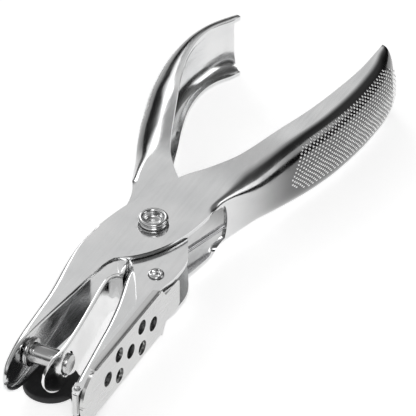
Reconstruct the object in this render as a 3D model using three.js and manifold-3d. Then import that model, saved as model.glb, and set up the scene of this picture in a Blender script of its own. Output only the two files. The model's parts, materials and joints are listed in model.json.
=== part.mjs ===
// One-hole paper punch of pressed, nickel-plated sheet steel, lying on its side.
//
// Frame while modelling: millimetres, pivot axis on Z through X = Y = 0, mid plane of the tool
// at Z = 0, jaws towards -X, handles towards +X. The upper lever carries the pin and its handle
// lies on the -Y side; the lower lever carries the die and its handle lies on the +Y side.
// The finished group is moved so that its origin is the middle of its own footprint.

import * as THREE from 'three';
import { mergeVertices } from 'three/addons/utils/BufferGeometryUtils.js';
import Module from 'manifold-3d';

const wasm = await Module();
wasm.setup();

// ---------------------------------------------------------------- driving dimensions

const SHEET = 1.1;                    // thickness of the pressed levers
const FRAME_SHEET = 0.9;              // thickness of the die frame and catcher
const LEAF_SHEET = 0.7;               // thickness of the stripper leaf

const UPPER_HALF = 6.6;               // half width of the upper lever at the jaw and pivot
const LOWER_HALF = 5.3;               // half width of the lower lever, inside the upper one
const FRAME_HALF = 4.1;               // half width of the die frame, inside the lower lever
const GRIP_HALF = 8.9;                // half width of both handles where they are widest
const LEAF_HALF = 5.0;                // half width of the stripper leaf

const JAW_RADIUS = 1.7;               // bend radius of the jaw channels
const FRAME_RADIUS = 1.2;             // bend radius of the die frame
const GRIP_RADIUS = 7.4;              // bend of the rounded handle backs, across the handle
const GRIP_DEPTH = 5.0;               // and its depth

const EYELET_RADIUS = 2.8;            // shank of the pivot rivet, hollow at both ends
const EYELET_BORE = 2.35;
const EYELET_RIM = 3.5;               // rolled rim of the pivot rivet
const EYELET_PROUD = 1.9;             // height of the rim above the cheek
const EYELET_CUP = 2.2;               // depth of the hollow in each end of the pivot rivet
const PIVOT_HOLE = 3.0;
const SLEEVE_RADIUS = 3.8;            // spacer sleeve between the inner cheeks

const WIRE = 1.3;                     // spring wire
const COIL_RADIUS = 4.8;              // mean radius of the spring coil
const COIL_TURNS = 3.5;
const COIL_PITCH = 1.55;

const PIN_X = -46.5;                  // punch pin, square to the upper jaw
const PIN_RADIUS = 2.4;
const PIN_TIP = -3.3;
const PIN_SHOULDER = 7.2;
const PIN_SHANK = 1.5;                // staked shank through the web
const COLLAR_RADIUS = 3.5;
const COLLAR_LOW = 6.0;

const DIE = { x: -45.9, y: -8.0, tilt: 8.5 };   // centre of the die mouth, tilt in degrees
const DIE_RADIUS = 3.3;
const DIE_BORE = 2.8;
const DIE_DEPTH = 2.4;

const LID_OUT = -13.2;                // outer face of the perforated catcher lid
const LID_IN = -12.4;
const LID_HALF = 6.5;
const LID_FRONT = -59.2;
const LID_HOLE = 1.8;                 // radius of the seven holes
const HOLE_PITCH = 10.9;
const HOLE_ROW = 3.0;                 // offset of the outer rows from the centre row
const HOLE_MIDDLE = -36.3;
const JAW_EDGE = -12.1;               // open edge of the die frame and the lower cheeks

const HINGE = { x: -57.4, y: -11.0, pin: 0.7, ear: 1.2 };
const RIVET = { x: -15.2, y: -8.6, shank: 1.2, head: 1.9, height: 0.55 };
const FOOT_RIVET = { x: -15, y: -1.2, tilt: 14, shank: 0.9 };    // fixes the leaf's foot

const STOP = { x: -45.7, y: 2.2, radius: 6.5, top: -7.1 };    // round paper stop under the jaws
const STOP_SWEEP = { from: -45, to: 250.2 };                  // degrees of its round edge
const STOP_TONGUE = [[-52.4, -7.8], [-52.4, -11], [-46.8, -11], [-43.2, -7]];   // reaches the frame
const STOP_BOSS = { front: -52.3, rear: -47, low: -10.95, high: -9.2 };
const STOP_RIVET = { x: -50, y: -10.1, shank: 0.5 };

const GAP = 0.2;                      // clearance between neighbouring pieces
const SLIP = 0.1;                     // clearance of a small pin or rivet in its hole
const THROUGH = 10;                   // half length of a cut that goes right through the tool
const WELD = 1e-5;                    // corners closer than this are one corner

// ---------------------------------------------------------------- materials

function metal(colour, roughness) {
  return new THREE.MeshStandardMaterial({ color: colour, roughness, metalness: 1 });
}
const NICKEL = metal(0xc9cbcc, 0.2);
const SATIN = metal(0xb4b6b8, 0.35);
const SPRING_STEEL = metal(0x8c8f92, 0.3);
const BLUED = metal(0x2a2b2d, 0.5);

// ---------------------------------------------------------------- solids

function stripped(geometry) {
  const bare = geometry.clone();
  bare.deleteAttribute('normal');
  bare.deleteAttribute('uv');
  return bare;
}

function toSolid(geometry) {
  const bare = mergeVertices(stripped(geometry), WELD);
  return new wasm.Manifold(new wasm.Mesh({
    numProp: 3,
    vertProperties: new Float32Array(bare.attributes.position.array),
    triVerts: new Uint32Array(bare.index.array),
  }));
}

function toGeometry(solid) {
  const mesh = solid.getMesh();
  const geometry = new THREE.BufferGeometry();
  geometry.setAttribute('position', new THREE.BufferAttribute(new Float32Array(mesh.vertProperties), 3));
  geometry.setIndex(new THREE.BufferAttribute(new Uint32Array(mesh.triVerts), 1));
  geometry.computeVertexNormals();
  return geometry;
}

function join(...solids) {
  return solids.reduce((whole, next) => whole.add(next));
}

// Flat piece between two heights, from an outline in X and Y.
function slab(shape, low, high, segments = 12) {
  const geometry = new THREE.ExtrudeGeometry(shape, {
    depth: high - low, bevelEnabled: false, curveSegments: segments,
  });
  geometry.translate(0, 0, low);
  return toSolid(geometry);
}

// Flat piece square to Y, from an outline in X and Z.
function panel(shape, low, high, segments = 12) {
  const geometry = new THREE.ExtrudeGeometry(shape, {
    depth: high - low, bevelEnabled: false, curveSegments: segments,
  });
  geometry.rotateX(Math.PI / 2);
  geometry.translate(0, high, 0);
  return toSolid(geometry);
}

function block(x0, x1, y0, y1, z0, z1) {
  const geometry = new THREE.BoxGeometry(x1 - x0, y1 - y0, z1 - z0);
  geometry.translate((x0 + x1) / 2, (y0 + y1) / 2, (z0 + z1) / 2);
  return toSolid(geometry);
}

// Turned piece along Z at x, y: pairs of radius and height, closing on the axis or on itself.
function turned(profile, x = 0, y = 0, sides = 24) {
  const geometry = new THREE.LatheGeometry(profile.map(([r, h]) => new THREE.Vector2(r, h)), sides);
  geometry.rotateX(Math.PI / 2);
  geometry.translate(x, y, 0);
  return toSolid(outward(geometry));
}

// Turned piece along Y at x, with an optional tilt about Z in degrees around (x, y).
function turnedAlongY(profile, x, y = 0, tilt = 0, sides = 24) {
  const geometry = new THREE.LatheGeometry(profile.map(([r, h]) => new THREE.Vector2(r, h)), sides);
  geometry.rotateZ(THREE.MathUtils.degToRad(tilt));
  geometry.translate(x, y, 0);
  return toSolid(outward(geometry));
}

function rod(radius, low, high) {
  return [[0, low], [radius, low], [radius, high], [0, high]];
}

function ring(inner, outer, low, high) {
  return [[inner, low], [outer, low], [outer, high], [inner, high], [inner, low]];
}

// Turns the faces outwards where the volume comes out negative.
function outward(geometry) {
  const flat = mergeVertices(stripped(geometry), WELD);
  const p = flat.attributes.position;
  const index = flat.index.array;
  const a = new THREE.Vector3();
  const b = new THREE.Vector3();
  const c = new THREE.Vector3();
  let volume = 0;
  const kept = [];
  for (let i = 0; i < index.length; i += 3) {
    a.fromBufferAttribute(p, index[i]);
    b.fromBufferAttribute(p, index[i + 1]);
    c.fromBufferAttribute(p, index[i + 2]);
    volume += a.dot(b.clone().cross(c));
    if (new Set([index[i], index[i + 1], index[i + 2]]).size === 3) {
      kept.push([index[i], index[i + 1], index[i + 2]]);
    }
  }
  flat.setIndex(kept.flatMap(([i, j, k]) => (volume < 0 ? [i, k, j] : [i, j, k])));
  return flat;
}

// ---------------------------------------------------------------- curves and channels

// Smooth y(x) through points listed in order of x.
function through(points) {
  const n = points.length;
  const slope = points.map((point, i) => {
    const before = points[Math.max(i - 1, 0)];
    const after = points[Math.min(i + 1, n - 1)];
    return (after[1] - before[1]) / (after[0] - before[0]);
  });
  return (x) => {
    let i = 0;
    while (i < n - 2 && x > points[i + 1][0]) i += 1;
    const [x0, y0] = points[i];
    const [x1, y1] = points[i + 1];
    const span = x1 - x0;
    const t = THREE.MathUtils.clamp((x - x0) / span, 0, 1);
    const t2 = t * t;
    const t3 = t2 * t;
    return (2 * t3 - 3 * t2 + 1) * y0 + (t3 - 2 * t2 + t) * span * slope[i]
      + (3 * t2 - 2 * t3) * y1 + (t3 - t2) * span * slope[i + 1];
  };
}

// Value that grows smoothly from low to high between two places along X.
function flare(from, to, low, high) {
  return (x) => THREE.MathUtils.lerp(low, high, THREE.MathUtils.smoothstep(x, from, to));
}

function steps(from, to, count) {
  return Array.from({ length: count + 1 }, (_, i) => from + ((to - from) * i) / count);
}

// Sheet channel whose U section lies square to X. At each x the section runs from the open
// edge of one cheek, round the back, to the open edge of the other cheek.
const BEND_STEPS = 5;
function section(x, edge, back, half, radius, sheet) {
  const side = Math.sign(back - edge);
  const deep = Math.min(radius, GRIP_DEPTH, Math.abs(back - edge) - 0.1);
  const wide = Math.min(radius, half - 0.1);
  const innerDeep = Math.max(deep - sheet, 0.15);
  const innerWide = Math.max(wide - sheet, 0.15);
  const pairs = [[[x, edge, half], [x, edge, half - sheet]]];
  for (const [sign, order] of [[1, 1], [-1, -1]]) {
    for (let i = 0; i <= BEND_STEPS; i += 1) {
      const turn = (Math.PI / 2) * (order > 0 ? i : BEND_STEPS - i) / BEND_STEPS;
      const reach = Math.sin(turn);
      const lift = Math.cos(turn);
      pairs.push([
        [x, back - side * deep * (1 - reach), sign * (half - wide * (1 - lift))],
        [x, back - side * (sheet + innerDeep * (1 - reach)), sign * (half - sheet - innerWide * (1 - lift))],
      ]);
    }
  }
  pairs.push([[x, edge, -half], [x, edge, -half + sheet]]);
  return pairs;
}

function channel(stations, sheet) {
  const rings = stations.map(([x, edge, back, half, radius]) => section(x, edge, back, half, radius, sheet));
  const width = rings[0].length;
  const positions = rings.flat(3);
  const at = (ring, i, layer) => (ring * width + i) * 2 + layer;
  const faces = [];
  const quad = (a, b, c, d) => faces.push(a, b, c, a, c, d);
  for (let ring = 0; ring < rings.length - 1; ring += 1) {
    for (let i = 0; i < width - 1; i += 1) {
      quad(at(ring, i, 0), at(ring + 1, i, 0), at(ring + 1, i + 1, 0), at(ring, i + 1, 0));
      quad(at(ring, i, 1), at(ring, i + 1, 1), at(ring + 1, i + 1, 1), at(ring + 1, i, 1));
    }
    quad(at(ring, 0, 0), at(ring, 0, 1), at(ring + 1, 0, 1), at(ring + 1, 0, 0));
    const last = width - 1;
    quad(at(ring, last, 0), at(ring + 1, last, 0), at(ring + 1, last, 1), at(ring, last, 1));
  }
  for (let i = 0; i < width - 1; i += 1) {
    const end = rings.length - 1;
    quad(at(0, i, 0), at(0, i + 1, 0), at(0, i + 1, 1), at(0, i, 1));
    quad(at(end, i, 0), at(end, i, 1), at(end, i + 1, 1), at(end, i + 1, 0));
  }
  const geometry = new THREE.BufferGeometry();
  geometry.setAttribute('position', new THREE.Float32BufferAttribute(positions, 3));
  geometry.setIndex(faces);
  return toSolid(outward(geometry));
}

// Outline between two curves y(x), closed at both ends.
function between(top, bottom, from, to, count) {
  const upper = steps(from, to, count).map((x) => new THREE.Vector2(x, top(x)));
  const lower = steps(to, from, count).map((x) => new THREE.Vector2(x, bottom(x)));
  return new THREE.Shape([...upper, ...lower]);
}

// Both cheeks of a lever at once, as mirrored slabs.
function cheeks(shape, half, sheet) {
  return join(slab(shape, half - sheet, half), slab(shape, -half, sheet - half));
}

function circle(x, y, radius) {
  return new THREE.Shape().absarc(x, y, radius, 0, Math.PI * 2);
}

// ---------------------------------------------------------------- upper lever

const upperTop = through([
  [-57, 7.9], [-45, 8.9], [-33, 9.8], [-22, 11.3], [-12.5, 11.5], [-1, 9.7], [9, 6.6], [19, 1.9],
  [24, -2.2], [31, -6.9], [42, -11.1], [52, -14.2], [62, -16.4], [73, -18.1], [84, -18.5],
]);
const upperBottom = through([
  [-57, 6.5], [-46.6, 6.3], [-32, 4.8], [-19, 3.1], [-15.5, 1.9], [-13, -1.4], [-9.5, -4.5],
  [-5, -7.1], [0, -8.9], [7, -10.1], [13, -10.5], [20, -12.9], [30, -17], [38, -19.5], [45, -21.5],
  [52, -23.2], [62, -24.8], [70, -25.2], [76, -25], [81, -23.9], [84, -22.4],
]);
const NOSE = { front: -58.6, rear: -57.2, low: 6.5, high: 7.8, half: 2.8 };   // turned-down front wall
const NOSE_ROUND = -47;               // where the jaw starts to narrow to its round nose
const upperHalf = flare(16, 46, UPPER_HALF, GRIP_HALF);
const bendRadius = flare(12, 36, JAW_RADIUS, GRIP_RADIUS);

function noseHalf(x) {
  const t = THREE.MathUtils.clamp((NOSE_ROUND - x) / (NOSE_ROUND - NOSE.front), 0, 1);
  return THREE.MathUtils.lerp(0.8, UPPER_HALF, Math.sqrt(1 - t * t));
}

function upperLever() {
  const stations = [...steps(-58.2, -48, 9), ...steps(-45, -12, 9)];
  const jaw = stations.map((x) => [x, upperBottom(x), upperTop(x), noseHalf(x), JAW_RADIUS]);
  const grip = steps(14, 84, 18).map((x) => [x, upperTop(x), upperBottom(x), upperHalf(x), bendRadius(x)]);
  const plates = cheeks(between(upperTop, upperBottom, -16, 18, 34), UPPER_HALF, SHEET);
  const nose = block(NOSE.front, NOSE.rear, NOSE.low, NOSE.high, -NOSE.half, NOSE.half);
  const lever = join(channel(jaw, SHEET), channel(grip, SHEET), plates, nose);
  const pivot = slab(circle(0, 0, PIVOT_HOLE), -THROUGH, THROUGH);
  const stake = turnedAlongY(rod(PIN_SHANK + GAP, 0, 12), PIN_X);
  return lever.subtract(pivot).subtract(stake);
}

// ---------------------------------------------------------------- lower lever

const lowerBack = through([
  [9, 10.4], [16, 13.9], [24, 17.4], [33, 21.4], [42, 24.4], [50, 26.5], [59, 27.8], [67, 27.6],
  [73, 26], [77.5, 23.4], [80, 20.8],
]);
const lowerEdge = through([
  [17, 1.4], [21, 5], [24, 7.4], [27.5, 9.8], [32, 12], [38, 14.3], [44, 16.5], [52, 19.4],
  [60, 21.5], [67, 21.9], [73, 20.6], [80, 17.2],
]);
const lowerHalf = flare(23, 50, LOWER_HALF, GRIP_HALF);

function lowerCheek() {
  return new THREE.Shape([
    [22, 16.6], [16, 13.9], [9, 10.4], [0, 8.4], [-6, 6.2], [-10, 3.0], [-12.6, -0.6], [-16.5, -3.7],
    [-22, -7.0], [-25.5, -8.9], [-30, -9.5], [-38, -9.6], [-43.5, -10.3], [-46, JAW_EDGE],
    [-19, JAW_EDGE], [-14.5, -12.9], [-7.5, -12.6], [-1.8, -9.9], [4, -6.3], [9, -3], [15, 0.2],
    [19, 3.2], [22, 5.9],
  ].map(([x, y]) => new THREE.Vector2(x, y)));
}

function lowerLever() {
  const grip = steps(18, 80, 16).map((x) => [x, lowerEdge(x), lowerBack(x), lowerHalf(x), bendRadius(x)]);
  const lever = join(channel(grip, SHEET), cheeks(lowerCheek(), LOWER_HALF, SHEET));
  const pivot = slab(circle(0, 0, PIVOT_HOLE), -THROUGH, THROUGH);
  const rivet = slab(circle(RIVET.x, RIVET.y, RIVET.shank + GAP), -THROUGH, THROUGH);
  return lever.subtract(pivot).subtract(rivet);
}

// ---------------------------------------------------------------- die frame, die and leaf

const frameBack = through([
  [-55.4, -9.5], [-53, -9.05], [-46, -8.0], [-39, -6.95], [-34, -6.2], [-26, -4.5], [-18.6, -2.3],
  [-12, -0.5],
]);

const EAR_ROOT = -54;                 // where the hinge ears leave the frame

function footHole() {
  return turnedAlongY(rod(FOOT_RIVET.shank + SLIP, -4, 4), FOOT_RIVET.x, FOOT_RIVET.y, FOOT_RIVET.tilt);
}

function dieFrame() {
  const stations = steps(-55.4, -12.4, 14)
    .map((x) => [x, JAW_EDGE, frameBack(x), FRAME_HALF, FRAME_RADIUS]);
  const ear = new THREE.Shape();
  ear.moveTo(EAR_ROOT, HINGE.y + HINGE.ear);
  ear.lineTo(HINGE.x, HINGE.y + HINGE.ear);
  ear.absarc(HINGE.x, HINGE.y, HINGE.ear, Math.PI / 2, Math.PI * 1.5);
  ear.lineTo(EAR_ROOT, HINGE.y - HINGE.ear);
  ear.closePath();
  const frame = join(channel(stations, FRAME_SHEET), cheeks(ear, FRAME_HALF, FRAME_SHEET));
  const bores = join(
    slab(circle(HINGE.x, HINGE.y, HINGE.pin + SLIP), -THROUGH, THROUGH),
    slab(circle(RIVET.x, RIVET.y, RIVET.shank + GAP), -THROUGH, THROUGH),
    turnedAlongY(rod(DIE_RADIUS + SLIP, -6, 3), DIE.x, DIE.y, DIE.tilt),
    footHole(),
  );
  return frame.subtract(bores);
}

function dieBush() {
  return turnedAlongY(ring(DIE_BORE, DIE_RADIUS, -DIE_DEPTH, 0), DIE.x, DIE.y, DIE.tilt, 32);
}

// Lower face of the stripper leaf, from its riveted foot to its flared front lip.
const LEAF_LINE = [
  [-12.8, -0.45], [-17.2, -1.5], [-18.6, -1.2], [-20.4, 0.1], [-23.5, 0.2], [-30, -0.7],
  [-38, -1.8], [-46, -2.6], [-50, -2.5], [-55, -1.1],
];

const LEAF_REAR = -12;
const LEAF_ROUND = -50;               // centre of the leaf's round front end
const LEAF_HOLE = 3.0;

function stripperLeaf() {
  const line = new THREE.SplineCurve(LEAF_LINE.map(([x, y]) => new THREE.Vector2(x, y))).getPoints(36);
  const upper = line.map((point, i) => {
    const before = line[Math.max(i - 1, 0)];
    const after = line[Math.min(i + 1, line.length - 1)];
    const along = after.clone().sub(before).normalize();
    return new THREE.Vector2(point.x + along.y * LEAF_SHEET, point.y - along.x * LEAF_SHEET);
  });
  const strip = slab(new THREE.Shape([...line, ...upper.reverse()]), -LEAF_HALF, LEAF_HALF);
  const blank = new THREE.Shape();
  blank.moveTo(LEAF_REAR, -LEAF_HALF);
  blank.lineTo(LEAF_REAR, LEAF_HALF);
  blank.lineTo(LEAF_ROUND, LEAF_HALF);
  blank.absarc(LEAF_ROUND, 0, LEAF_HALF, Math.PI / 2, Math.PI * 1.5);
  blank.closePath();
  const hole = turnedAlongY(rod(LEAF_HOLE, -6, 4), PIN_X);
  return strip.intersect(panel(blank, -6, 6)).subtract(hole).subtract(footHole());
}

function leafRivet() {
  const shank = FOOT_RIVET.shank - SLIP / 2;
  const tail = { radius: 1.4, low: -1.8, high: -1.3 };
  const head = { radius: 1.6, crown: 1.3, low: 1.1, edge: 1.6, high: 1.75 };
  const profile = [
    [0, tail.low], [tail.radius, tail.low], [tail.radius, tail.high], [shank, tail.high],
    [shank, head.low], [head.radius, head.low], [head.crown, head.edge], [0, head.high],
  ];
  return turnedAlongY(profile, FOOT_RIVET.x, FOOT_RIVET.y, FOOT_RIVET.tilt, 20);
}

// ---------------------------------------------------------------- pin

function punchPin() {
  const web = upperTop(PIN_X);
  const head = { radius: 2.3, crown: 1.8, low: web + 0.35, edge: web + 1.0, high: web + 1.2 };
  const edge = { inset: 0.15, chamfer: 0.2, hollow: 0.7 };       // ground end, hollow in the middle
  const profile = [
    [0, PIN_TIP + edge.hollow], [PIN_RADIUS - edge.inset, PIN_TIP], [PIN_RADIUS, PIN_TIP + edge.chamfer],
    [PIN_RADIUS, PIN_SHOULDER], [PIN_SHANK, PIN_SHOULDER], [PIN_SHANK, head.low],
    [head.radius, head.low], [head.crown, head.edge], [0, head.high],
  ];
  return turnedAlongY(profile, PIN_X, 0, 0, 32);
}

function pinCollar() {
  return turnedAlongY(ring(PIN_RADIUS + SLIP, COLLAR_RADIUS, COLLAR_LOW, PIN_SHOULDER), PIN_X, 0, 0, 32);
}

// ---------------------------------------------------------------- pivot and spring

function pivotEyelet() {
  const top = UPPER_HALF + EYELET_PROUD;
  const seat = UPPER_HALF + GAP;
  const rim = (s) => [
    [EYELET_RADIUS, s * seat], [EYELET_RIM - 0.2, s * seat], [EYELET_RIM, s * (seat + 0.5)],
    [EYELET_RIM, s * (top - 0.7)], [EYELET_RIM - 0.5, s * (top - 0.1)], [EYELET_BORE + 0.4, s * top],
    [EYELET_BORE, s * (top - 0.4)],
  ];
  const cup = (s) => [[EYELET_BORE, s * (top - EYELET_CUP)], [0, s * (top - EYELET_CUP)]];
  const profile = [...rim(1), ...cup(1)];
  const mirrored = [...rim(-1), ...cup(-1)];
  return turned([...mirrored.reverse(), ...profile], 0, 0, 32);
}

function pivotSleeve() {
  const end = LOWER_HALF - SHEET - GAP;
  return turned(ring(PIVOT_HOLE, SLEEVE_RADIUS, -end, end), 0, 0, 24);
}

// Torsion spring: a coil about the pivot with one straight arm along each handle.
const SPRING_START = -118;            // degrees, where the lower arm leaves the coil
const SPRING_ARM = 0.12;              // share of the line that each arm takes
const SPRING_LOW = [22, -11.2];       // far end of each arm, inside a handle
const SPRING_HIGH = [22.5, 14.0];

class SpringLine extends THREE.Curve {
  constructor() {
    super();
    this.startAngle = THREE.MathUtils.degToRad(SPRING_START);
    this.endAngle = this.startAngle + Math.PI * 2 * COIL_TURNS;
    this.rise = COIL_PITCH * COIL_TURNS;
  }

  coil(t) {
    const angle = THREE.MathUtils.lerp(this.startAngle, this.endAngle, t);
    return new THREE.Vector3(
      COIL_RADIUS * Math.cos(angle), COIL_RADIUS * Math.sin(angle), this.rise * (t - 0.5));
  }

  getPoint(t) {
    const low = new THREE.Vector3(...SPRING_LOW, -this.rise / 2);
    const high = new THREE.Vector3(...SPRING_HIGH, this.rise / 2);
    if (t < SPRING_ARM) return low.lerp(this.coil(0), t / SPRING_ARM);
    if (t > 1 - SPRING_ARM) return this.coil(1).lerp(high, (t - 1 + SPRING_ARM) / SPRING_ARM);
    return this.coil((t - SPRING_ARM) / (1 - 2 * SPRING_ARM));
  }
}

function returnSpring() {
  const wire = new THREE.Shape().absarc(0, 0, WIRE / 2, 0, Math.PI * 2);
  const geometry = new THREE.ExtrudeGeometry(wire, {
    steps: 66, extrudePath: new SpringLine(), curveSegments: 4, bevelEnabled: false,
  });
  return toSolid(outward(geometry));
}

// ---------------------------------------------------------------- catcher lid

const LID_CORNER = 6.4;
const TAB = { rear: -12.4, chamfer: -13.2, root: -19.2, shoulder: -21, end: 3.2, half: 3.9 };
const LIP = { front: -52.5, rear: -21.5, sheet: 0.9, height: 1.2 };    // folded side lips
const CURL = { radius: 1.25, half: 3.0, front: -0.4, rear: 1.6 };      // rolled barrel and its foot

function catcherLid() {
  const corner = LID_FRONT + LID_CORNER;
  const inset = LID_HALF - LID_CORNER;
  const face = new THREE.Shape();
  face.moveTo(TAB.rear, -TAB.end);
  face.lineTo(TAB.rear, TAB.end);
  face.lineTo(TAB.chamfer, TAB.half);
  face.lineTo(TAB.root, TAB.half);
  face.lineTo(TAB.shoulder, LID_HALF);
  face.lineTo(corner, LID_HALF);
  face.absarc(corner, inset, LID_CORNER, Math.PI / 2, Math.PI);
  face.absarc(corner, -inset, LID_CORNER, Math.PI, Math.PI * 1.5);
  face.lineTo(TAB.shoulder, -LID_HALF);
  face.lineTo(TAB.root, -TAB.half);
  face.lineTo(TAB.chamfer, -TAB.half);
  face.closePath();
  const holes = [-1, 0, 1].map((i) => [HOLE_MIDDLE + i * HOLE_PITCH, 0]);
  for (const i of [-0.5, 0.5]) {
    for (const row of [-HOLE_ROW, HOLE_ROW]) holes.push([HOLE_MIDDLE + i * HOLE_PITCH, row]);
  }
  for (const [x, z] of holes) {
    face.holes.push(new THREE.Path().absarc(x, z, LID_HOLE, 0, Math.PI * 2, true));
  }
  const base = LID_IN - GAP;
  const lip = (z) => block(LIP.front, LIP.rear, base, LID_IN + LIP.height, z - LIP.sheet, z);
  const curl = slab(circle(HINGE.x, HINGE.y, CURL.radius), -CURL.half, CURL.half);
  const foot = block(HINGE.x + CURL.front, HINGE.x + CURL.rear, base, HINGE.y, -CURL.half, CURL.half);
  const bore = slab(circle(HINGE.x, HINGE.y, HINGE.pin + SLIP), -THROUGH, THROUGH);
  return join(panel(face, LID_OUT, LID_IN), lip(LID_HALF), lip(LIP.sheet - LID_HALF), curl, foot)
    .subtract(bore);
}

function hingePin() {
  return turned(rod(HINGE.pin, -FRAME_HALF - 0.3, FRAME_HALF + 0.3), HINGE.x, HINGE.y, 16);
}

function jawRivet() {
  const face = LOWER_HALF + 0.1;
  const top = face + RIVET.height;
  const profile = [
    [0, -top], [RIVET.head - 0.3, -top], [RIVET.head, -face], [RIVET.shank, -face],
    [RIVET.shank, face], [RIVET.head, face], [RIVET.head - 0.3, top], [0, top],
  ];
  return turned(profile, RIVET.x, RIVET.y, 24);
}

// ---------------------------------------------------------------- paper stop

function paperStop() {
  const [from, to] = [STOP_SWEEP.from, STOP_SWEEP.to].map(THREE.MathUtils.degToRad);
  const outline = new THREE.Shape();
  outline.absarc(STOP.x, STOP.y, STOP.radius, from, to);
  for (const [x, y] of STOP_TONGUE) outline.lineTo(x, y);
  outline.closePath();
  const plate = slab(outline, -GRIP_HALF, STOP.top, 24);
  const { front, rear, low, high } = STOP_BOSS;
  const boss = block(front, rear, low, high, STOP.top - GAP, -FRAME_HALF - SLIP);
  const bore = slab(circle(STOP_RIVET.x, STOP_RIVET.y, STOP_RIVET.shank + SLIP), -THROUGH, 0);
  return join(plate, boss).subtract(bore);
}

function stopRivet() {
  const low = -GRIP_HALF + SLIP;
  return turned(rod(STOP_RIVET.shank, low, -FRAME_HALF - GAP), STOP_RIVET.x, STOP_RIVET.y, 12);
}

// ---------------------------------------------------------------- assembly

const pieces = [
  ['upper_lever', upperLever(), NICKEL],
  ['lower_lever', lowerLever(), NICKEL],
  ['die_frame', dieFrame(), NICKEL],
  ['die_bush', dieBush(), SATIN],
  ['stripper_leaf', stripperLeaf(), NICKEL],
  ['leaf_rivet', leafRivet(), NICKEL],
  ['punch_pin', punchPin(), SATIN],
  ['pin_collar', pinCollar(), SATIN],
  ['pivot_eyelet', pivotEyelet(), NICKEL],
  ['pivot_sleeve', pivotSleeve(), SATIN],
  ['return_spring', returnSpring(), SPRING_STEEL],
  ['catcher_lid', catcherLid(), NICKEL],
  ['catcher_hinge_pin', hingePin(), SATIN],
  ['jaw_rivet', jawRivet(), NICKEL],
  ['paper_stop', paperStop(), BLUED],
  ['stop_rivet', stopRivet(), SATIN],
];

const punch = new THREE.Group();
for (const [name, solid, material] of pieces) {
  const mesh = new THREE.Mesh(toGeometry(solid), material);
  mesh.name = name;
  punch.add(mesh);
}

// Origin at the middle of the footprint, on the surface that the tool lies on.
const box = new THREE.Box3().setFromObject(punch);
punch.position.set(-(box.min.x + box.max.x) / 2, -(box.min.y + box.max.y) / 2, -box.min.z);
punch.updateMatrixWorld(true);

export default punch;
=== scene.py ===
import json
import math

import bmesh
import bpy
from mathutils import Matrix, Vector

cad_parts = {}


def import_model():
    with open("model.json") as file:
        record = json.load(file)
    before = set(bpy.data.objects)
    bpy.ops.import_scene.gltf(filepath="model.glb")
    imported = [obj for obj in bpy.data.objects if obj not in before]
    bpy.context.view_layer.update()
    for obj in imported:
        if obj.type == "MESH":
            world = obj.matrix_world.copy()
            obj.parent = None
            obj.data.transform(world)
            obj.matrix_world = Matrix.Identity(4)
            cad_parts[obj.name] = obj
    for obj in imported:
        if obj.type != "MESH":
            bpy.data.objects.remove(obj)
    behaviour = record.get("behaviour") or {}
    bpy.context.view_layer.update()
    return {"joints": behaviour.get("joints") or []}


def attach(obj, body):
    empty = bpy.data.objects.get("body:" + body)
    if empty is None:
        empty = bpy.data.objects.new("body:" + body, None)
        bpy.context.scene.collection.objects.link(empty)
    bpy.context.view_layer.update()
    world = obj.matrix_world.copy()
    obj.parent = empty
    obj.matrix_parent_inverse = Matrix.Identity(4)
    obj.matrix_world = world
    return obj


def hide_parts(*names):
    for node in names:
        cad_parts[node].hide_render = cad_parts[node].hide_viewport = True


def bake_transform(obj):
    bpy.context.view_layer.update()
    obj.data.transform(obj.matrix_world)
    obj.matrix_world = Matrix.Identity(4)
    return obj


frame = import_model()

# The looks of a one-hole paper punch. Shapes are given in millimetres about the pivot, with the
# mid plane of the tool at z = 0, jaws towards -x and handles towards +x, as in the CAD part.

MM = 0.001
JOINTS = {joint["name"]: joint for joint in frame["joints"]}
PIVOT = Vector(JOINTS["lever_pivot"]["pos_m"])
DIE_BODY, PUNCH_BODY, LID_BODY = "die_lever", "punch_lever", "catcher"

SHEET, FRAME_SHEET, LEAF_SHEET, LID_SHEET = 1.1, 0.9, 0.7, 0.8
UPPER_HALF, LOWER_HALF, FRAME_HALF, GRIP_HALF, LEAF_HALF = 6.6, 5.3, 4.1, 8.9, 5.0
JAW_RADIUS, GRIP_RADIUS, FRAME_RADIUS = 1.7, 7.4, 1.2
JAW_EDGE = -12.1
CUT_THROUGH = 30

PIVOT_HOLE = 2.95
EYELET_RIM, EYELET_BORE, EYELET_CUP, EYELET_SHANK = 1.9, 2.35, 2.0, 2.8
SLEEVE_BORE, SLEEVE_RADIUS, SLEEVE_END = 3.0, 3.8, 4.0
COIL_RADIUS, COIL_TURNS, COIL_PITCH, WIRE = 4.8, 3.5, 1.55, 1.3
COIL_START = math.radians(-118)
UPPER_ARM_TIP, LOWER_ARM_TIP = (22.0, -11.2), (22.5, 14.0)

PIN_X, PIN_RADIUS, PIN_TIP, PIN_SHOULDER, PIN_SHANK = -46.5, 2.4, -3.3, 7.2, 1.5
COLLAR_BORE, COLLAR_RADIUS, COLLAR_LOW = 2.5, 3.5, 6.0
DIE_X, DIE_Y, DIE_TILT = -45.9, -8.0, 8.5
DIE_BORE, DIE_RADIUS, DIE_DEPTH = 2.8, 3.3, 2.4
LEAF_ROUND = -50
FOOT_X, FOOT_Y, FOOT_TILT = -15, -1.2, 14
RIVET_X, RIVET_Y, RIVET_HOLE = -15.2, -8.6, 1.35
RIVET_HEAD, RIVET_SHANK, RIVET_HEIGHT = 1.9, 1.2, 0.55

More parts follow.
